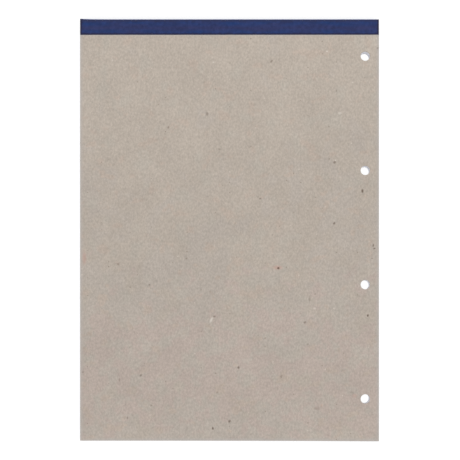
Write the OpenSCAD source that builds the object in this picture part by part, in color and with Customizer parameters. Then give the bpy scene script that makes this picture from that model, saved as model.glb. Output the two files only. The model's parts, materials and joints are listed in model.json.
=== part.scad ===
// Headbound graph pad, A4, punched with four holes.
// It lies face down with its backing board up, as it is stored and photographed.
// +X points to the punched edge, +Y to the bound head and +Z out of the board.
// The origin is under the middle of the pad, on the surface that it lies on.
// All sizes are in millimetres.

/* [Pad] */
// Width of the pad
pad_w = 210; // [150:1:320]
// Height of the pad from its foot to the outside of the tape at its head
pad_h = 296.2; // [276:0.1:440]

/* [Leaves] */
// Number of leaves
leaf_count = 50; // [10:1:150]
// Thickness of one leaf
leaf_t = 0.1; // [0.06:0.01:0.3]

/* [Backing board] */
// Thickness of the greyboard
board_t = 0.9; // [0.3:0.1:3]

/* [Binding] */
// Thickness of the binding tape
tape_t = 0.2; // [0.1:0.05:0.6]
// Reach of the tape over the board, measured from the head
back_flap = 10.8; // [4:0.1:20]
// Reach of the tape over the front leaf, measured from the head
front_flap = 10.8; // [4:0.1:20]
// Thickness of the glue film that holds the head edges of leaves and board
glue_t = 0.3; // [0.1:0.05:0.9]

/* [Punched holes] */
// Number of holes in the row
hole_count = 4; // [2, 4]
// Diameter of each hole
hole_d = 6.5; // [5:0.1:8]
// Distance between the centres of neighbouring holes
hole_pitch = 80.3; // [76:0.1:84]
// Distance from the punched edge to the centres of the holes
hole_margin = 9.6; // [6:0.1:20]
// Distance from the pad's middle to the middle of the row, towards the head
hole_row_shift = 1.8; // [-8:0.1:8]

/* [Hidden] */

// Facets of a round hole and of a fold's arc
round_fn = 96;
// How far a cut runs past the solid that it cuts
cut_over = 1;

// Leaves and board are trimmed together, so they share both edges along Y
block_t = leaf_count * leaf_t;
stack_t = block_t + board_t;
foot_y = -pad_h / 2;
head_y = pad_h / 2;
glued_y = head_y - tape_t - glue_t;
stack_h = glued_y - foot_y;

// Levels from the surface up. The front flap is pressed into the leaves, which are
// nipped there by its thickness, and the back flap lies on the board
front_z = 0;
nip_z = front_z + tape_t;
board_z = front_z + block_t;
back_z = front_z + stack_t;
top_z = back_z + tape_t;

// The glue rounds off at the front leaf and at the board, and the tape folds round it
inner_fold_r = glue_t;
outer_fold_r = glue_t + tape_t;

// Middle of the punched row
row_x = pad_w / 2 - hole_margin;
row_y = hole_row_shift;

greyboard_colour = "#B6ACA1";
paper_colour = "#F1F1EE";
tape_colour = "#333D66";
glue_colour = "#E3DCC8";

// One sheet or stack of the pad's outline, from level z up
module trimmed_slab(z, thickness) {
    translate([-pad_w / 2, foot_y, z])
        cube([pad_w, stack_h, thickness]);
}

// The drills of the punched row, through a slab from level z up
module drill_row(z, thickness) {
    for (i = [0 : hole_count - 1])
        translate([row_x, row_y + (i - (hole_count - 1) / 2) * hole_pitch, z - cut_over])
            cylinder(d = hole_d, h = thickness + 2 * cut_over, $fn = round_fn);
}

// Room under the leaves for the front flap of the tape
module front_flap_bed() {
    translate([-pad_w / 2 - cut_over, head_y - front_flap, front_z - cut_over])
        cube([pad_w + 2 * cut_over, front_flap, nip_z - front_z + cut_over]);
}

// Section of the pad between two levels, out to a head with rounded corners,
// drawn with x for the pad's Y and y for its Z
module rounded_head(to_y, low_z, high_z, fold_r) {
    translate([foot_y, low_z])
        square([to_y - fold_r - foot_y, high_z - low_z]);
    translate([foot_y, low_z + fold_r])
        square([to_y - foot_y, high_z - low_z - 2 * fold_r]);
    for (fold_z = [low_z + fold_r, high_z - fold_r])
        translate([to_y - fold_r, fold_z])
            circle(r = fold_r, $fn = round_fn);
}

// Cut in the same section from past the foot to a line across the pad
module cut_up_to(to_y, low_z, high_z) {
    translate([foot_y - cut_over, low_z])
        square([to_y - foot_y + cut_over, high_z - low_z]);
}

// A section drawn in the pad's Y and Z, run across its whole width
module across_pad() {
    translate([-pad_w / 2, 0, 0])
        rotate([90, 0, 90])
            linear_extrude(pad_w)
                children();
}

// Greyboard that stiffens the pad, drilled together with the leaves
module backing_board() {
    color(greyboard_colour)
        difference() {
            trimmed_slab(board_z, board_t);
            drill_row(board_z, board_t);
        }
}

// The leaves, face down and held together, as one solid
module sheet_block() {
    color(paper_colour)
        difference() {
            trimmed_slab(front_z, block_t);
            drill_row(front_z, block_t);
            front_flap_bed();
        }
}

// Film of padding glue over the head edges of leaves and board
module head_glue() {
    color(glue_colour)
        across_pad()
            difference() {
                rounded_head(glued_y + glue_t, nip_z, back_z, inner_fold_r);
                cut_up_to(glued_y, front_z, top_z);
            }
}

// One strip of tape: a flap on the board, the spine and a flap on the front leaf
module binding_tape() {
    color(tape_colour)
        across_pad()
            difference() {
                rounded_head(head_y, front_z, top_z, outer_fold_r);
                rounded_head(glued_y + glue_t, nip_z, back_z, inner_fold_r);
                cut_up_to(head_y - front_flap, front_z - cut_over, nip_z);
                cut_up_to(head_y - back_flap, back_z, top_z + cut_over);
            }
}

backing_board();
sheet_block();
binding_tape();
head_glue();
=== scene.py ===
import json
import math
import random

import bmesh
import bpy
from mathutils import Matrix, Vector, noise
from mathutils.geometry import delaunay_2d_cdt


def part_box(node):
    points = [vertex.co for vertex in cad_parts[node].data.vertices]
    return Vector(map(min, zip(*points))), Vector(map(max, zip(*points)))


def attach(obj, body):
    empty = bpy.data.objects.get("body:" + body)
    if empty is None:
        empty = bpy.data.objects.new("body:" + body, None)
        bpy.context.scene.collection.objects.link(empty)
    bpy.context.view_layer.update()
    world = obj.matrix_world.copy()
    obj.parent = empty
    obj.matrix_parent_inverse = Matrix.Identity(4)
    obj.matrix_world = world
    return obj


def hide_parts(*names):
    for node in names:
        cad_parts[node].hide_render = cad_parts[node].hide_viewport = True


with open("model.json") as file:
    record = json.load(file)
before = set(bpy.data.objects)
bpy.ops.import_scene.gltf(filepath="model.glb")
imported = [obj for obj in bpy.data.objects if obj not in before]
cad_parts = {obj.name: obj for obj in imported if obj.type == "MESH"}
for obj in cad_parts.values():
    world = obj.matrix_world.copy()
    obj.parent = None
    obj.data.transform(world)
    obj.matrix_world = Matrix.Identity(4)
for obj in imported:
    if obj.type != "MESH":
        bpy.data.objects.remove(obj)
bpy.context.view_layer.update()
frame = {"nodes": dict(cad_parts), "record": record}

MM = 0.001
random.seed(4)

# The solids that the frame gives
BOARD_LOW, BOARD_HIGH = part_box("backing_board")
BLOCK_LOW, BLOCK_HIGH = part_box("sheet_block")
TAPE_LOW, TAPE_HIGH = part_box("binding_tape")
GLUE_LOW, GLUE_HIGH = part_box("head_glue")
HOLES = [m for m in frame["record"]["mounts"] if m["kind"] == "bore"]
HOLE_CENTRES = [Vector(m["pos_m"][:2]) for m in HOLES]
HOLE_R = HOLES[0]["dims"]["r_mm"] * MM

LEFT_X, RIGHT_X = BOARD_LOW.x, BOARD_HIGH.x
FOOT_Y, GLUED_Y, HEAD_Y = BOARD_LOW.y, BOARD_HIGH.y, TAPE_HIGH.y
FACE_Z = BOARD_HIGH.z
TAPE_T = TAPE_HIGH.z - FACE_Z
FLAP_Y = TAPE_LOW.y
GLUE_T = GLUE_HIGH.y - GLUE_LOW.y

# The drill leaned a little, so each hole drifts this far, towards the foot, on its way down
DRILL_DRIFT = Vector((0.04, -0.63)) * MM
# Sides of a drawn hole
HOLE_SIDES = 48

# The cut edges and hole rims of the board are rounded by this much
BOARD_RIM = 0.08 * MM
# Distance between the points along the board's outline
BOARD_STEP = 6 * MM

LEAF_COUNT = 50
# Share of its room that a leaf fills, so that a fine dark line parts it from the next
LEAF_FILL = 0.96
# How far a leaf lies off its place at most
LEAF_SHUFFLE = 0.035 * MM
# The front leaves rise over the tape's front flap in this length, in this many steps
FLAP_RAMP = 4 * MM
FLAP_RAMP_STEPS = 4
# Straight parts that a leaf's foot is drawn in
LEAF_FOOT_PARTS = 8

# The foot is cut a hair askew, this far above its level at the left and below it at the
# right, along a curve of this power
FOOT_RISE = 0.09 * MM
FOOT_DROP = 0.38 * MM
FOOT_POWER = 3

# Each end of the tape is trimmed this much, and its inside stands this much off board, glue
# and leaves, so that no two faces share a place
TAPE_TRIM = 0.06 * MM
TAPE_CLEARANCE = 0.01 * MM
# The edge of each flap is laid a hair askew, this far up or down at each side, and this much
# too low, and it wavers by up to this much, in waves of about this length
TAPE_SKEW = 0.03 * MM
TAPE_SLIP = 0.09 * MM
TAPE_WAVER = 0.05 * MM
WAVE_LENGTH = 9 * MM
# What sets the waves of the two flaps apart, and where the waves are taken from the noise
WAVE_PER_METRE_UP = 100
WAVE_PLACE = 3.1
# How much of a flap counts as its edge
FLAP_EDGE = 1 * MM
# The tape is worn round at its two corners, drawn at these shares of the corner's radius
CORNER_R = 0.16 * MM
CORNER_SHARES = (0, 0.06, 0.2, 0.45, 1)
# Its left end stands off the head by this much, and the gap fades out in about this length
BULGE = 0.45 * MM
BULGE_REACH = 5 * MM
# Steps across the pad, along a flap, round a bend and down the spine
TAPE_STEPS = 68
FLAP_STEPS = 10
BEND_STEPS = 8
SPINE_STEPS = 6

# Edges that turn less than this, in degrees, are shaded smooth
SMOOTH_ANGLE = 35

# The photographed frame, in pixels, and the camera over the pad
FRAME_PX = 460
PAD_CENTRE_PX = Vector((229.5, 230.05))
PAD_WIDTH_PX = 298.88
CAMERA_HEIGHT = 0.61
# Width of the camera's sensor, in millimetres as the camera takes it
SENSOR_WIDTH = 36

# Light on the pad: what the sky gives evenly, and what a wide lamp over it adds
SKY_LEVEL = 0.75
LAMP_PLACE = Vector((0.05, 0.12, 1.4))
LAMP_SIZE = 1.0
LAMP_POWER = 6.0

# The floor reaches this far from the middle, and starts this far outside the pad's outline
FLOOR_REACH = 0.45
FLOOR_GAP = 0.05 * MM
FLOOR_COLOUR = (0.8, 0.8, 0.8, 1)
# What the floor glows with in the camera's eyes alone, over the light that it reflects
FLOOR_GLOW = 0.32


def srgb(red, green, blue):
    """A colour given as 0 to 255 on screen, as the linear colour that a shader takes."""
    def linear(value):
        value /= 255
        return value / 12.92 if value <= 0.04045 else ((value + 0.055) / 1.055) ** 2.4
    return (linear(red), linear(green), linear(blue), 1)


class Graph:
    """The nodes of one material, made by short calls that take and give sockets."""

    def __init__(self, name, roughness, specular):
        self.material = bpy.data.materials.new(name)
        self.material.use_nodes = True
        self.nodes = self.material.node_tree.nodes
        self.links = self.material.node_tree.links
        self.surface = self.nodes["Principled BSDF"]
        self.surface.inputs["Roughness"].default_value = roughness
        self.surface.inputs["Specular IOR Level"].default_value = specular
        self.place = self.nodes.new("ShaderNodeTexCoord").outputs["Object"]

    def node(self, kind, inputs, output=0, **settings):
        """A node with its inputs set by number or name, each to a value or another's output."""
        made = self.nodes.new("ShaderNode" + kind)
        for key, value in settings.items():
            setattr(made, key, value)
        for key, value in inputs.items():
            if isinstance(value, bpy.types.NodeSocket):
                self.links.new(value, made.inputs[key])
            else:
                made.inputs[key].default_value = value
        return made.outputs[output]

    def math(self, operation, first, second=0.0):
        return self.node("Math", {0: first, 1: second}, operation=operation)

    def stretched(self, x=1.0, y=1.0, z=1.0, turn=0.0):
        """The place on the piece, turned in its plane and drawn out along each axis."""
        inputs = {"Vector": self.place, "Rotation": (0, 0, math.radians(turn)), "Scale": (x, y, z)}
        return self.node("Mapping", inputs, vector_type="TEXTURE")

    def noise(self, size, detail=2.0, place=None, rough=0.5, output="Fac"):
        """Noise with features about size across, in metres."""
        inputs = {"Vector": place or self.place, "Scale": 1 / size, "Detail": detail,
                  "Roughness": rough}
        return self.node("TexNoise", inputs, output)

    def ragged(self, size, reach):
        """The place on the piece, pushed about by up to about reach, so that outlines wander."""
        push = self.noise(size, output="Color")
        push = self.node("VectorMath", {0: push, 1: (0.5, 0.5, 0.5)}, operation="SUBTRACT")
        push = self.node("VectorMath", {0: push, 3: 2 * reach}, operation="SCALE")
        return self.node("VectorMath", {0: self.place, 1: push}, operation="ADD")

    def ramp(self, value, low, high, to_low=0.0, to_high=1.0):
        """value, carried from low..high to to_low..to_high and held there."""
        inputs = {0: value, 1: low, 2: high, 3: to_low, 4: to_high}
        return self.node("MapRange", inputs, clamp=True)

    def blend(self, amount, first, second, mode="MIX"):
        """first, and by this amount second over it."""
        inputs = {0: amount, 6: first, 7: second}
        return self.node("Mix", inputs, 2, data_type="RGBA", blend_type=mode)

    def shaded(self, tone, factors):
        """A tone made darker or lighter by each factor."""
        for factor in factors:
            tone = self.blend(1.0, tone, factor, "MULTIPLY")
        return tone

    def layered(self, tone, layers):
        """A tone with layers over it, each an amount and a colour."""
        for amount, tint in layers:
            tone = self.blend(amount, tone, tint)
        return tone

    def facing(self, axis):
        """How far the surface faces along an axis of the pad, from -1 to 1."""
        normal = self.node("NewGeometry", {}, "Normal")
        return self.node("SeparateXYZ", {0: normal}, axis)

    def along(self, axis):
        """The place on the piece along an axis of the pad."""
        return self.node("SeparateXYZ", {0: self.place}, axis)

    def bump(self, height, depth):
        made = self.node("Bump", {"Height": height, "Distance": depth, "Strength": 1.0}, "Normal")
        self.links.new(made, self.surface.inputs["Normal"])

    def colour(self, value):
        self.links.new(value, self.surface.inputs["Base Color"])


# Marks that the real board shows, each by its way from the left edge and from the head,
# its length and width, all in millimetres, its turn in degrees and its strength
DARK_FLECKS = {
    "rusty speck by the middle": (139.3, 174.9, 2.1, 1.9, 0, 0.86),
    "left of the pair at the foot": (93.3, 287.4, 2.6, 1.4, 90, 0.84),
    "right of the pair at the foot": (105, 282.4, 2.7, 1.9, 60, 0.63),
    "speck between second and third hole": (198.4, 120.6, 3.1, 1.9, 90, 0.76),
    "speck by the third hole": (202.2, 208.2, 2.4, 1.5, 90, 0.82),
    "upright of the hook by the edge": (206, 159, 3, 1.3, 90, 0.65),
    "foot of the hook by the edge": (206.8, 161, 2.1, 1.2, 10, 0.65),
    "tick in the edge under the tape": (209.2, 20.2, 2.4, 1, 0, 0.66),
    "speck below the middle": (111.3, 244.7, 2.6, 1.8, 90, 0.6),
    "speck left of the second gap": (178.5, 143.4, 2.5, 1.8, 60, 0.6),
    "long speck left of the second hole": (178.8, 100.5, 2.6, 2.3, 30, 0.5),
    "speck in the lower right": (158, 213, 2.7, 2, 20, 0.5),
    "small speck right of the middle": (126.6, 126, 1.9, 1.7, 0, 0.52),
    "speck beside the pale chip": (94.3, 208.8, 2.2, 1.8, 0, 0.46),
    "speck in the lower left": (42.5, 250.3, 2.3, 1.6, 40, 0.41),
    "speck under the tape, right": (134.5, 29.6, 2.8, 1.9, 50, 0.46),
    "speck above the middle": (89.3, 66.5, 3.1, 2.3, 90, 0.37),
    "pinprick left of the middle": (48.8, 186.6, 1.8, 1.6, 0, 0.46),
    "small speck in the upper left": (62.1, 76, 2.2, 1.6, 90, 0.4),
    "small speck in the lower right": (141.4, 251, 2.8, 2.2, 70, 0.28),
    "speck left of the rusty one": (74.7, 168, 1.7, 1.6, 0, 0.4),
    "speck in the foot's left corner": (33.3, 280, 1.9, 1.5, 90, 0.31),
    "speck left of the first gap": (180.2, 50.2, 2.2, 1.1, 90, 0.34),
    "speck near the left edge": (26.8, 172, 2.2, 2, 0, 0.33),
    "speck on the left edge": (2, 248, 1.8, 1.6, 0, 0.35),
    "upright speck in the lower right": (161.3, 196.6, 4.2, 2, 90, 0.27),
    "upright speck in the lower left": (27.7, 253.4, 3.2, 1.4, 90, 0.32),
    "faint speck above the middle": (98, 91.3, 2.1, 1.8, 0, 0.3),
    "faint speck below the middle": (96.3, 262.2, 2.2, 1.6, 60, 0.27),
    "faint speck in the lower left": (50.2, 271.3, 1.8, 1.6, 0, 0.33),
    "brown smudge by the foot": (166.5, 273.4, 4.4, 3, 0, 0.22),
    "smudge by the fourth hole": (191, 262.2, 3.4, 2.4, 0, 0.15),
}
PALE_FLECKS = {
    "long pale chip": (92.2, 211.3, 5.4, 2, 65, 0.6),
    "pale speck under the tape, right": (173.6, 22.5, 1.6, 1.4, 0, 0.8),
    "pale speck under the tape, left": (93.8, 30.2, 1.9, 1.3, 0, 0.47),
    "pale speck by the first gap": (182.4, 66, 3, 2.3, 0, 0.42),
    "pale speck by the second hole": (179.5, 99, 1.6, 1.2, 0, 0.6),
    "pale speck by the first hole": (191.5, 44.3, 1.5, 1.2, 0, 0.4),
    "pale speck in the head's left corner": (22.8, 28.8, 1.5, 1.3, 0, 0.45),
    "pale speck in the lower right": (164.8, 203.1, 2.1, 1.8, 0, 0.42),
    "pale edge in the head's right corner": (208.3, 13.7, 1.8, 0.9, 90, 0.4),
}
RED_STAINS = {
    "halo round the rusty speck": (139, 174.5, 8.0, 3.6, 0, 0.5),
    "smear on the left edge": (3, 168, 10, 3.6, 90, 0.42),
    "stain by the fourth hole": (193, 264.5, 4.4, 3.6, 0, 0.3),
    "stain by the brown smudge": (169.8, 271.2, 2.4, 1.6, 90, 0.25),
}


def named_marks(graph, marks, ragged):
    """One mask with every named mark on the board's face."""
    total = 0.0
    for from_left, from_head, length, width, turn, strength in marks.values():
        inputs = {
            "Vector": ragged,
            "Location": (LEFT_X + from_left * MM, HEAD_Y - from_head * MM, FACE_Z),
            "Rotation": (0, 0, math.radians(turn)),
            "Scale": (length / 2 * MM, width / 2 * MM, 1 * MM),
        }
        inside = graph.node("Mapping", inputs, vector_type="TEXTURE")
        away = graph.node("VectorMath", {0: inside}, "Value", operation="LENGTH")
        total = graph.math("MAXIMUM", total, graph.ramp(away, 1.1, 0.4, 0.0, strength))
    return total


def scattered(graph, ragged, cell, share, radius):
    """A mask of specks, in this share of cells that are each about cell wide."""
    inputs = {"Vector": ragged, "Scale": 1 / cell}
    away = graph.node("TexVoronoi", inputs, "Distance", voronoi_dimensions="2D")
    drawn = graph.node("SeparateColor", {0: away.node.outputs["Color"]}, "Red")
    size = graph.node("SeparateColor", {0: away.node.outputs["Color"]}, "Green")
    reach = graph.ramp(size, 0.0, 1.0, 0.5 * radius / cell, radius / cell)
    spot = graph.ramp(graph.math("DIVIDE", away, reach), 1.1, 0.4)
    return graph.math("MULTIPLY", spot, graph.math("LESS_THAN", drawn, share))


def fibres(graph, length, width, turn):
    """A mask of short fibres that lie mostly one way."""
    strands = graph.noise(width, 1.0, graph.stretched(x=length / width, turn=turn))
    return graph.ramp(strands, 0.6, 0.72)


def greyboard():
    """Recycled board: grey beige, grained along the pad, softly mottled, with flecks and fibres."""
    graph = Graph("greyboard", roughness=0.93, specular=0.12)
    ragged = graph.ragged(1.2 * MM, 0.35 * MM)

    # Its pulp is yellowish by the head and pinker lower down, with orange and cool blotches
    up = graph.along(1)
    yellow = graph.ramp(up, -80 * MM, 90 * MM, -0.1, 0.16)
    yellow = graph.math("ADD", graph.noise(17 * MM, 2), yellow)
    toned = graph.blend(graph.ramp(yellow, 0.44, 0.56), srgb(179.3, 169.6, 159.9),
                        srgb(179.8, 169.3, 158.1))
    from_pink = graph.math("ABSOLUTE", graph.math("SUBTRACT", up, -100 * MM))
    pink = graph.ramp(from_pink, 10 * MM, 100 * MM, 0.08, -0.2)
    pink = graph.math("ADD", graph.noise(11 * MM, 3, graph.stretched(z=2), 0.6), pink)
    toned = graph.blend(graph.ramp(pink, 0.48, 0.56), toned, srgb(181.2, 167.8, 158.6))
    orange = graph.ramp(graph.noise(8 * MM, 2, graph.stretched(x=1.3)), 0.6, 0.66, 0, 0.85)
    toned = graph.blend(orange, toned, srgb(181.9, 168.2, 156.2))
    cool = graph.ramp(graph.noise(14 * MM, 2, graph.stretched(z=3)), 0.56, 0.66, 0, 0.7)
    toned = graph.blend(cool, toned, srgb(178.4, 170.3, 159.8))

    grain = graph.noise(1.23 * MM, 2, graph.stretched(y=1.42))
    fine = graph.noise(0.22 * MM, 3, rough=0.6)
    shades = (
        graph.ramp(grain, 0.2, 0.8, 0.849, 1.151),
        graph.ramp(fine, 0.2, 0.8, 0.92, 1.08),
        graph.ramp(graph.noise(3.6 * MM, 1, graph.stretched(y=1.5)), 0.3, 0.7, 0.982, 1.018),
        graph.ramp(graph.noise(24 * MM, 2), 0.3, 0.7, 0.965, 1.035),
        graph.ramp(fibres(graph, 1.8 * MM, 0.3 * MM, 82), 0, 1, 1, 0.95),
        graph.ramp(fibres(graph, 1.4 * MM, 0.13 * MM, 100), 0, 1, 1, 0.86),
        graph.ramp(fibres(graph, 1.5 * MM, 0.15 * MM, 60), 0, 1, 1, 1.12),
        graph.ramp(fibres(graph, 1.2 * MM, 0.13 * MM, 20), 0, 1, 1, 1.1),
        # Painted light: the board is painted lighter towards the head and a hair lighter towards
        # the right
        graph.ramp(up, FLAP_Y - 140 * MM, FLAP_Y, 1, 1.07),
        graph.ramp(graph.along(0), LEFT_X, RIGHT_X, 0.996, 1.005),
        graph.ramp(up, FLAP_Y - 1.4 * MM, FLAP_Y - 0.7 * MM, 1, 1.03),
    )
    toned = graph.shaded(toned, shades)

    # Paler towards the punched edge and the foot, darker along the left edge, painted shade greyer
    # along its edges, a painted shadow under the tape, and its specks, stains and chips over all
    from_right = graph.math("SUBTRACT", RIGHT_X, graph.along(0))
    from_left = graph.math("SUBTRACT", graph.along(0), LEFT_X)
    from_foot = graph.math("SUBTRACT", up, FOOT_Y)
    from_corner = graph.math("MINIMUM", from_right, from_foot)
    paler = graph.ramp(from_corner, 13 * MM, 5 * MM, 1, 1.014)
    darker = graph.ramp(from_left, 5 * MM, 2 * MM, 1, 0.985)
    toned = graph.shaded(toned, (paler, darker))
    from_edge = graph.math("MINIMUM", from_corner, from_left)
    # Painted shade: a grey band along the board's cut edges
    painted_edge_shade = graph.ramp(from_edge, 2.6 * MM, 0.6 * MM, 0, 0.5)
    # Painted shadow: a grey line just under the tape's edge
    painted_tape_shadow = graph.ramp(up, FLAP_Y - 0.9 * MM, FLAP_Y - 0.5 * MM, 0, 0.5)
    toned = graph.layered(toned, (
        (painted_edge_shade, srgb(182, 177, 174)),
        (painted_tape_shadow, srgb(178, 176, 176)),
        (scattered(graph, ragged, 5 * MM, 0.05, 0.6 * MM), srgb(150, 138, 127)),
        (scattered(graph, ragged, 6.1 * MM, 0.03, 0.6 * MM), srgb(203, 193, 182)),
        (named_marks(graph, RED_STAINS, ragged), srgb(190, 151, 139)),
        (named_marks(graph, DARK_FLECKS, ragged), srgb(84, 66, 54)),
        (named_marks(graph, PALE_FLECKS, ragged), srgb(222, 214, 204)),
    ))

    # Cut edges show the plies, darker than the face round the pad, with painted light paler in the
    # holes
    plies = graph.noise(0.2 * MM, 2, graph.stretched(x=30, y=30))
    trimmed = graph.blend(plies, srgb(156, 147, 138), srgb(184, 175, 165))
    # Painted light: the hole walls get a paler copy of the cut edge's colour
    punched = graph.blend(plies, srgb(184, 177, 169), srgb(206, 201, 195))
    cut = graph.blend(graph.ramp(from_edge, 2 * MM, 3 * MM), trimmed, punched)
    upright = graph.ramp(graph.math("ABSOLUTE", graph.facing(2)), 0.8, 0.4)
    graph.colour(graph.blend(upright, toned, cut))
    graph.bump(graph.math("ADD", graph.math("MULTIPLY", grain, 0.6), fine), 0.03 * MM)
    return graph.material


# The ruled area of the front leaf, how softly its lines end, and its lines: pitch, width and
# colour of each kind
RULED_W, RULED_H = 180 * MM, 260 * MM
RULED_FROM_PUNCHED, RULED_FROM_HEAD = 20 * MM, 20 * MM
LINE_SOFTNESS = 0.03 * MM
RULES = (
    (2 * MM, 0.13 * MM, srgb(186, 212, 234)),
    (10 * MM, 0.2 * MM, srgb(146, 186, 222)),
    (20 * MM, 0.3 * MM, srgb(112, 160, 208)),
)


def ruled(graph, pitch, width):
    """A mask of lines both ways over the ruled area."""
    middle_x = RIGHT_X - RULED_FROM_PUNCHED - RULED_W / 2
    middle_y = HEAD_Y - RULED_FROM_HEAD - RULED_H / 2
    lines = 0.0
    area = 1.0
    for axis, middle, reach in ((0, middle_x, RULED_W / 2), (1, middle_y, RULED_H / 2)):
        away = graph.math("ABSOLUTE", graph.math("SUBTRACT", graph.along(axis), middle))
        from_end = graph.math("SUBTRACT", reach, away)
        off_line = graph.math("PINGPONG", from_end, pitch / 2)
        outer = width / 2 + LINE_SOFTNESS
        inner = width / 2 - LINE_SOFTNESS
        lines = graph.math("MAXIMUM", lines, graph.ramp(off_line, outer, inner))
        area = graph.math("MULTIPLY", area, graph.ramp(from_end, -outer, -inner))
    return graph.math("MULTIPLY", lines, area)


def writing_paper(name, rules=()):
    """White paper, faintly clouded, each leaf's cut edge a shade of its own.

    Its rules are drawn on the front of a leaf, which faces down.
    """
    graph = Graph(name, roughness=0.85, specular=0.2)
    toned = graph.blend(graph.noise(6 * MM, 3), srgb(247, 248, 252), srgb(243, 244, 249))
    pitch = (BLOCK_HIGH.z - BLOCK_LOW.z) / LEAF_COUNT
    leaf = graph.math("FLOOR", graph.math("DIVIDE", graph.along(2), pitch))
    leaf_tone = graph.node("TexWhiteNoise", {"W": leaf}, "Value", noise_dimensions="1D")
    upright = graph.ramp(graph.math("ABSOLUTE", graph.facing(2)), 0.8, 0.4)
    # Painted shade: the cut edges, in the holes and round the block, are painted greyer and bluer
    toned = graph.blend(upright, toned, srgb(234, 233, 238))
    shade = graph.ramp(graph.math("MULTIPLY", leaf_tone, upright), 0, 1, 1, 0.92)
    toned = graph.shaded(toned, (shade,))
    front = graph.ramp(graph.facing(2), -0.4, -0.6)
    for spacing, width, ink in rules:
        shown = graph.math("MULTIPLY", ruled(graph, spacing, width), front)
        toned = graph.blend(shown, toned, ink)
    graph.colour(toned)
    graph.bump(graph.noise(0.3 * MM, 3), 0.01 * MM)
    return graph.material


def binding_tape_cloth():
    """Navy tape: woven grain, purplish patches along it, darker edges, painted fold shade and
    highlight.
    """
    graph = Graph("navy_tape", roughness=0.7, specular=0.1)
    patches = graph.ramp(graph.noise(3.4 * MM, 3, graph.stretched(x=4.5)), 0.3, 0.7)
    toned = graph.blend(patches, srgb(35.4, 57.4, 106.3), srgb(46.9, 54.4, 94.4))
    # A streak just below the middle of each flap, where it was rubbed down
    from_streak = graph.math("SUBTRACT", graph.along(1), (FLAP_Y + HEAD_Y) / 2 - 0.7 * MM)
    streak = graph.ramp(graph.math("ABSOLUTE", from_streak), 2.8 * MM, 0.3 * MM, 0, 0.7)
    toned = graph.blend(streak, toned, srgb(50, 52, 89))

    grain = graph.noise(2.3 * MM, 3)
    faded = graph.noise(7 * MM, 2, graph.stretched(x=3))
    warp = graph.noise(0.13 * MM, 2, graph.stretched(x=9))
    weft = graph.noise(0.13 * MM, 2, graph.stretched(y=7))
    weave = graph.math("MAXIMUM", warp, weft)
    toned = graph.shaded(toned, (
        graph.ramp(grain, 0.2, 0.8, 0.76, 1.24),
        graph.ramp(faded, 0.3, 0.7, 0.93, 1.07),
        graph.ramp(weave, 0.35, 0.75, 0.8, 1.25),
    ))

    # Darker towards its ends and the foot of each flap, with painted shade by the fold and a
    # painted highlight of paler blue where it turns down
    from_end = graph.math("SUBTRACT", RIGHT_X, graph.math("ABSOLUTE", graph.along(0)))
    from_foot = graph.math("SUBTRACT", graph.along(1), FLAP_Y - 0.3 * MM)
    fray = graph.ramp(graph.math("ADD", grain, weave), 0.6, 1.6, -0.5 * MM, 0.5 * MM)
    from_edge = graph.math("ADD", graph.math("MINIMUM", from_end, from_foot), fray)
    from_fold = graph.math("SUBTRACT", graph.math("ADD", HEAD_Y, fray), graph.along(1))
    # Painted shade: the flats next to the fold are painted darker
    near_fold = graph.ramp(from_fold, 2.2 * MM, 0.9 * MM, 0, 0.75)
    painted_fold_shade = graph.math("MULTIPLY", near_fold, graph.math("ABSOLUTE", graph.facing(2)))
    worn = graph.ramp(from_edge, 1.6 * MM, 0.9 * MM, 0, 0.85)
    # Painted highlight: paler blue along the curve where it turns down, fading towards the ends
    turning = graph.math("PINGPONG", graph.math("ABSOLUTE", graph.facing(1)), 0.5)
    inward = graph.ramp(from_end, 0.6 * MM, 3 * MM, 0.2, 1)
    painted_fold_highlight = graph.math("MULTIPLY", graph.ramp(turning, 0.1, 0.3, 0, 0.8), inward)
    graph.colour(graph.layered(toned, (
        (painted_fold_shade, srgb(49, 50, 74)),
        (worn, srgb(40, 39, 64)),
        (painted_fold_highlight, srgb(56, 80, 156)),
    )))
    graph.bump(graph.math("ADD", grain, weave), 0.02 * MM)
    return graph.material


def dried_glue():
    """Cream padding glue, slightly glossy, unevenly brushed on."""
    graph = Graph("dried_glue", roughness=0.4, specular=0.5)
    brushed = graph.noise(2 * MM, 2, graph.stretched(x=4))
    graph.colour(graph.blend(brushed, srgb(226, 219, 198), srgb(214, 206, 184)))
    graph.bump(brushed, 0.03 * MM)
    return graph.material


def new_piece(name, mesh_maker, material, replaced):
    """A piece of the pad from a bmesh, dressed, riding on the pad and standing for its CAD node."""
    mesh = bpy.data.meshes.new(name)
    bm = bmesh.new()
    mesh_maker(bm)
    bmesh.ops.recalc_face_normals(bm, faces=bm.faces)
    bm.to_mesh(mesh)
    bm.free()
    mesh.materials.append(material)
    piece = bpy.data.objects.new(name, mesh)
    bpy.context.scene.collection.objects.link(piece)
    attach(piece, "root")
    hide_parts(replaced)
    return piece


def foot_cut(x):
    """How far the pad's foot is cut above its level, at a place across the pad."""
    part = (x - LEFT_X) / (RIGHT_X - LEFT_X)
    return FOOT_RISE - (FOOT_RISE + FOOT_DROP) * part ** FOOT_POWER


def rectangle(low, high, stations_x, stations_y):
    """Corners and stations round the pad's outline, anticlockwise, its foot cut a hair askew."""
    xs = [low.x] + [x for x in stations_x if low.x < x < high.x] + [high.x]
    ys = [low.y] + [y for y in stations_y if low.y < y < high.y] + [high.y]
    foot = [Vector((x, low.y + foot_cut(x))) for x in xs]
    return (foot + [Vector((high.x, y)) for y in ys[1:]]
            + [Vector((x, high.y)) for x in xs[-2::-1]] + [Vector((low.x, y)) for y in ys[-2:0:-1]])


def circle(centre, radius):
    turns = [2 * math.pi * k / HOLE_SIDES for k in range(HOLE_SIDES)]
    return [centre + radius * Vector((math.cos(t), math.sin(t))) for t in turns]


# What the triangulation gives, everything inside the outline and nothing beyond it, and how
# close points have to lie to count as one
INSIDE_ONLY = 1
WELD = 1e-9


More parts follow.
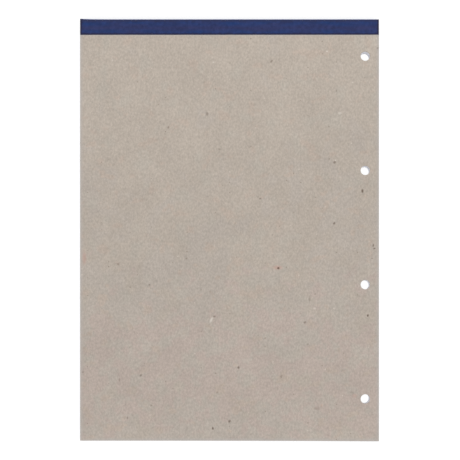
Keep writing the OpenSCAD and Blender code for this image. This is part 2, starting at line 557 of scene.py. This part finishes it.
def cap_triangles(outline, circles, lines=()):
    """Triangles between an outline and its holes, as numbers into outline + circles.

    The triangulation fills the holes too, with triangles whose corners all lie on one circle.
    """
    points = list(outline)
    edges = [(k, (k + 1) % len(outline)) for k in range(len(outline))]
    loop_of = [0] * len(outline)
    for number, ring in enumerate(circles, 1):
        start = len(points)
        points += ring
        loop_of += [number] * len(ring)
        edges += [(start + k, start + (k + 1) % len(ring)) for k in range(len(ring))]
    edges += list(lines)
    _, _, faces, origin, _, _ = delaunay_2d_cdt(points, edges, [], INSIDE_ONLY, WELD)
    first = [o[0] for o in origin]
    kept = []
    for face in faces:
        corners = [first[v] for v in face]
        owners = {loop_of[c] for c in corners}
        if len(owners) > 1 or 0 in owners:
            kept.append(corners)
    return kept


def close_loops(bm, loops):
    """Walls between loops of the same length, each a list of vertices."""
    for lower, upper in zip(loops, loops[1:]):
        for k in range(len(lower)):
            after = (k + 1) % len(lower)
            bm.faces.new((lower[k], lower[after], upper[after], upper[k]))


def make_leaf(bm, triangles, outline, low_z, high_z, drift, lift):
    """One leaf between two levels, its holes moved by drift and its head lifted."""
    loops = [outline] + [circle(centre + drift, HOLE_R) for centre in HOLE_CENTRES]
    sides = []
    for z in (low_z, high_z):
        sides.append([[bm.verts.new((p.x, p.y, z + lift(p.y))) for p in loop] for loop in loops])
    for side in sides:
        flat = [v for loop in side for v in loop]
        for corners in triangles:
            bm.faces.new([flat[c] for c in corners])
    for low_loop, high_loop in zip(*sides):
        close_loops(bm, [low_loop, high_loop])


def leaves(numbers):
    """A maker of these leaves, counted from the front, a hair apart and nipped over the flap."""
    pitch = (BLOCK_HIGH.z - BLOCK_LOW.z) / LEAF_COUNT
    ramp_start = FLAP_Y - FLAP_RAMP
    stations = [ramp_start + FLAP_RAMP * k / FLAP_RAMP_STEPS for k in range(FLAP_RAMP_STEPS + 1)]
    foot_parts = range(1, LEAF_FOOT_PARTS)
    along_foot = [LEFT_X + (RIGHT_X - LEFT_X) * k / LEAF_FOOT_PARTS for k in foot_parts]
    plain = rectangle(Vector((LEFT_X, FOOT_Y)), Vector((RIGHT_X, GLUED_Y)), along_foot, stations)
    # Lines across the leaf where it bends, between stations on its two sides
    first = 2 + len(along_foot)
    last = len(plain) - 1
    across = [(first + k, last - k) for k in range(len(stations))]
    rings = [circle(centre, HOLE_R) for centre in HOLE_CENTRES]
    triangles = cap_triangles(plain, rings, across)

    def draw(bm):
        for number in numbers:
            middle = (number + 0.5) / LEAF_COUNT
            # Share of the way that the drill has gone by the middle of this leaf
            depth = (FACE_Z - BLOCK_LOW.z - (number + 0.5) * pitch) / (FACE_Z - BLOCK_LOW.z)
            slip = Vector((random.uniform(-1, 1), random.uniform(-1, 0))) * LEAF_SHUFFLE
            rise = TAPE_T * (1 - middle)

            def lift(y, rise=rise):
                part = min(max((y - ramp_start) / FLAP_RAMP, 0), 1)
                return rise * part * part * (3 - 2 * part)

            low_z = BLOCK_LOW.z + number * pitch
            outline = [p + slip for p in plain]
            drift = DRILL_DRIFT * depth + slip
            make_leaf(bm, triangles, outline, low_z, low_z + pitch * LEAF_FILL, drift, lift)
    return draw


def board(bm):
    """The greyboard, its cut edges and hole rims slightly rounded."""
    count_x = int((RIGHT_X - LEFT_X) / BOARD_STEP)
    count_y = int((GLUED_Y - FOOT_Y) / BOARD_STEP)
    stations_x = [LEFT_X + BOARD_STEP * k for k in range(1, count_x)]
    stations_y = [FOOT_Y + BOARD_STEP * k for k in range(1, count_y)]
    low = Vector((LEFT_X, FOOT_Y))
    high = Vector((RIGHT_X, GLUED_Y))
    inwards = Vector((BOARD_RIM, BOARD_RIM))
    full = rectangle(low, high, stations_x, stations_y)
    inset = rectangle(low + inwards, high - inwards, stations_x, stations_y)
    wide = [circle(c, HOLE_R + BOARD_RIM) for c in HOLE_CENTRES]
    triangles = cap_triangles(inset, wide)
    thickness = FACE_Z - BOARD_LOW.z
    drift = DRILL_DRIFT * thickness / (FACE_Z - BLOCK_LOW.z)
    # Each level of the board: its height, how far its rims are open and its share of the drift
    levels = (
        (FACE_Z, BOARD_RIM, 0.0),
        (FACE_Z - BOARD_RIM, 0.0, 0.0),
        (BOARD_LOW.z + BOARD_RIM, 0.0, 1.0),
        (BOARD_LOW.z, BOARD_RIM, 1.0),
    )
    stacks = [[] for _ in range(1 + len(HOLE_CENTRES))]
    for z, opened, down in levels:
        outline = inset if opened else full
        stacks[0].append([bm.verts.new((p.x, p.y, z)) for p in outline])
        for number, centre in enumerate(HOLE_CENTRES, 1):
            ring = circle(centre + drift * down, HOLE_R + opened)
            stacks[number].append([bm.verts.new((p.x, p.y, z)) for p in ring])
    for stack in stacks:
        close_loops(bm, stack)
    for end in (0, -1):
        flat = [v for stack in stacks for v in stack[end]]
        for corners in triangles:
            bm.faces.new([flat[c] for c in corners])


def fold_section(radius, low_z, high_z):
    """Points down one face of the folded tape, from its edge on the board to its edge in front."""
    fold_y = HEAD_Y - (GLUE_T + TAPE_T)
    points = []
    for k in range(FLAP_STEPS):
        part = k / FLAP_STEPS
        points.append((FLAP_Y + (fold_y - FLAP_Y) * part, high_z))
    for k in range(BEND_STEPS):
        turn = math.pi / 2 * (1 - k / BEND_STEPS)
        points.append((fold_y + radius * math.cos(turn), high_z - radius + radius * math.sin(turn)))
    for k in range(SPINE_STEPS):
        part = k / SPINE_STEPS
        points.append((fold_y + radius, high_z - radius - (high_z - low_z - 2 * radius) * part))
    for k in range(BEND_STEPS):
        turn = -math.pi / 2 * k / BEND_STEPS
        points.append((fold_y + radius * math.cos(turn), low_z + radius + radius * math.sin(turn)))
    for k in range(FLAP_STEPS + 1):
        part = k / FLAP_STEPS
        points.append((fold_y + (FLAP_Y - fold_y) * part, low_z))
    return points


def worn_off(from_end):
    """How much of the fold is worn away at the tape's corners."""
    inward = max(CORNER_R - from_end, 0)
    return CORNER_R - math.sqrt(CORNER_R ** 2 - inward ** 2)


def laid(x, y, z, shift):
    """The y of a point of the tape, its fold shifted and the edges of its flaps askew."""
    moved = y + shift * min(max((y - FLAP_Y) / (HEAD_Y - FLAP_Y), 0), 1) ** 2
    if y < FLAP_Y + FLAP_EDGE:
        moved += TAPE_SKEW * x / RIGHT_X - TAPE_SLIP
        wave = noise.noise(Vector((x / WAVE_LENGTH, z * WAVE_PER_METRE_UP, WAVE_PLACE)))
        moved += TAPE_WAVER * wave
    return moved


def tape(bm):
    """One strip folded over the head: closed section by closed section across the pad."""
    outer = fold_section(GLUE_T + TAPE_T, TAPE_LOW.z, TAPE_HIGH.z)
    inner_low, inner_high = TAPE_LOW.z + TAPE_T - TAPE_CLEARANCE, FACE_Z + TAPE_CLEARANCE
    inner = fold_section(GLUE_T + TAPE_CLEARANCE, inner_low, inner_high)
    low_x, high_x = TAPE_LOW.x + TAPE_TRIM, TAPE_HIGH.x - TAPE_TRIM
    corner = [CORNER_R * share for share in CORNER_SHARES]
    span = high_x - low_x - 2 * CORNER_R
    stations = [low_x + s for s in corner]
    stations += [low_x + CORNER_R + span * k / TAPE_STEPS for k in range(1, TAPE_STEPS)]
    stations += [high_x - s for s in reversed(corner)]
    rows = []
    for x in stations:
        off = BULGE * math.exp((low_x - x) / BULGE_REACH)
        worn = off - worn_off(min(x - low_x, high_x - x))
        row = [bm.verts.new((x, laid(x, y, z, worn), z)) for y, z in outer]
        row += [bm.verts.new((x, laid(x, y, z, off), z)) for y, z in reversed(inner)]
        rows.append(row)
    close_loops(bm, rows)
    # The two ends, between the outer and the inner face
    count = len(outer)
    for row in (rows[0], rows[-1]):
        for k in range(count - 1):
            bm.faces.new((row[k], row[k + 1], row[2 * count - 2 - k], row[2 * count - 1 - k]))


def soften(piece, degrees):
    """Smooth shading that keeps edges sharper than an angle."""
    for face in piece.data.polygons:
        face.use_smooth = True
    piece.data.set_sharp_from_angle(angle=math.radians(degrees))


def seen_directly(nodes, links):
    """1 where the camera looks straight, by a mirror or through glass at a surface, and else 0."""
    path = nodes.new("ShaderNodeLightPath")
    seen = path.outputs["Is Camera Ray"]
    for other in ("Is Glossy Ray", "Is Transmission Ray"):
        either = nodes.new("ShaderNodeMath")
        either.operation = "MAXIMUM"
        links.new(seen, either.inputs[0])
        links.new(path.outputs[other], either.inputs[1])
        seen = either.outputs[0]
    return seen


def floor():
    """A plain white floor that keeps the pad's soft shadow.

    It is open under the pad and seen only from above, so that a view from below shows the front
    leaf, lit by the sky. Its opening lies a hair outside the pad's corners, askew with the foot
    and wider by the tape's left end.
    """
    mesh = bpy.data.meshes.new("floor")
    outer = [
        (-FLOOR_REACH, -FLOOR_REACH),
        (FLOOR_REACH, -FLOOR_REACH),
        (FLOOR_REACH, FLOOR_REACH),
        (-FLOOR_REACH, FLOOR_REACH),
    ]
    inner = [
        (LEFT_X - FLOOR_GAP, FOOT_Y + FOOT_RISE - FLOOR_GAP),
        (RIGHT_X + FLOOR_GAP, FOOT_Y - FOOT_DROP - FLOOR_GAP),
        (RIGHT_X + FLOOR_GAP, HEAD_Y + FLOOR_GAP),
        (LEFT_X - FLOOR_GAP, HEAD_Y + BULGE + FLOOR_GAP),
    ]
    sides = [(k, (k + 1) % 4, 4 + (k + 1) % 4, 4 + k) for k in range(4)]
    mesh.from_pydata([(x, y, 0) for x, y in outer + inner], [], sides)
    surface = bpy.data.objects.new("floor", mesh)
    bpy.context.scene.collection.objects.link(surface)

    material = bpy.data.materials.new("floor_white")
    material.use_nodes = True
    nodes, links = material.node_tree.nodes, material.node_tree.links
    nodes.clear()
    out = nodes.new("ShaderNodeOutputMaterial")
    diffuse = nodes.new("ShaderNodeBsdfDiffuse")
    diffuse.inputs["Color"].default_value = FLOOR_COLOUR
    glow = nodes.new("ShaderNodeEmission")
    strength = nodes.new("ShaderNodeMath")
    strength.operation = "MULTIPLY"
    strength.inputs[1].default_value = FLOOR_GLOW
    links.new(seen_directly(nodes, links), strength.inputs[0])
    links.new(strength.outputs[0], glow.inputs["Strength"])
    top = nodes.new("ShaderNodeAddShader")
    links.new(diffuse.outputs[0], top.inputs[0])
    links.new(glow.outputs[0], top.inputs[1])
    either = nodes.new("ShaderNodeMixShader")
    links.new(nodes.new("ShaderNodeNewGeometry").outputs["Backfacing"], either.inputs[0])
    links.new(top.outputs[0], either.inputs[1])
    links.new(nodes.new("ShaderNodeBsdfTransparent").outputs[0], either.inputs[2])
    links.new(either.outputs[0], out.inputs["Surface"])
    mesh.materials.append(material)


def light():
    """An even pale sky, white to the camera, and one wide soft lamp over the pad."""
    world = bpy.data.worlds.new("studio")
    bpy.context.scene.world = world
    world.use_nodes = True
    nodes, links = world.node_tree.nodes, world.node_tree.links
    sky = nodes["Background"]
    sky.inputs["Color"].default_value = (1, 1, 1, 1)
    level = nodes.new("ShaderNodeMapRange")
    level.inputs["To Min"].default_value = SKY_LEVEL
    level.inputs["To Max"].default_value = 1.0
    links.new(seen_directly(nodes, links), level.inputs["Value"])
    links.new(level.outputs[0], sky.inputs["Strength"])

    lamp = bpy.data.lights.new("soft_lamp", "AREA")
    lamp.size = LAMP_SIZE
    lamp.energy = LAMP_POWER
    holder = bpy.data.objects.new("soft_lamp", lamp)
    holder.location = LAMP_PLACE
    holder.rotation_euler = (-LAMP_PLACE).to_track_quat("-Z", "Y").to_euler()
    bpy.context.scene.collection.objects.link(holder)


def camera():
    """Looks straight down, the pad as wide and in the same place as in the photographed frame."""
    data = bpy.data.cameras.new("camera")
    data.sensor_width = SENSOR_WIDTH
    metres_per_px = (RIGHT_X - LEFT_X) / PAD_WIDTH_PX
    data.lens = data.sensor_width * CAMERA_HEIGHT / (FRAME_PX * metres_per_px)
    holder = bpy.data.objects.new("camera", data)
    off = (Vector((FRAME_PX, FRAME_PX)) / 2 - PAD_CENTRE_PX) * metres_per_px
    middle_y = (FOOT_Y + HEAD_Y) / 2
    holder.location = (off.x, middle_y - off.y, FACE_Z + CAMERA_HEIGHT)
    bpy.context.scene.collection.objects.link(holder)
    bpy.context.scene.camera = holder


front_paper = writing_paper("ruled_paper", RULES)
plain_paper = writing_paper("plain_paper")
new_piece("front_leaf", leaves([0]), front_paper, "sheet_block")
new_piece("leaves", leaves(range(1, LEAF_COUNT)), plain_paper, "sheet_block")
board_piece = new_piece("board", board, greyboard(), "backing_board")
tape_piece = new_piece("tape", tape, binding_tape_cloth(), "binding_tape")
for piece in (board_piece, tape_piece):
    soften(piece, SMOOTH_ANGLE)
glue = dried_glue()
for spot in frame["nodes"]["head_glue"].material_slots:
    spot.material = glue

floor()
light()
camera()
bpy.context.scene.view_settings.view_transform = "Standard"
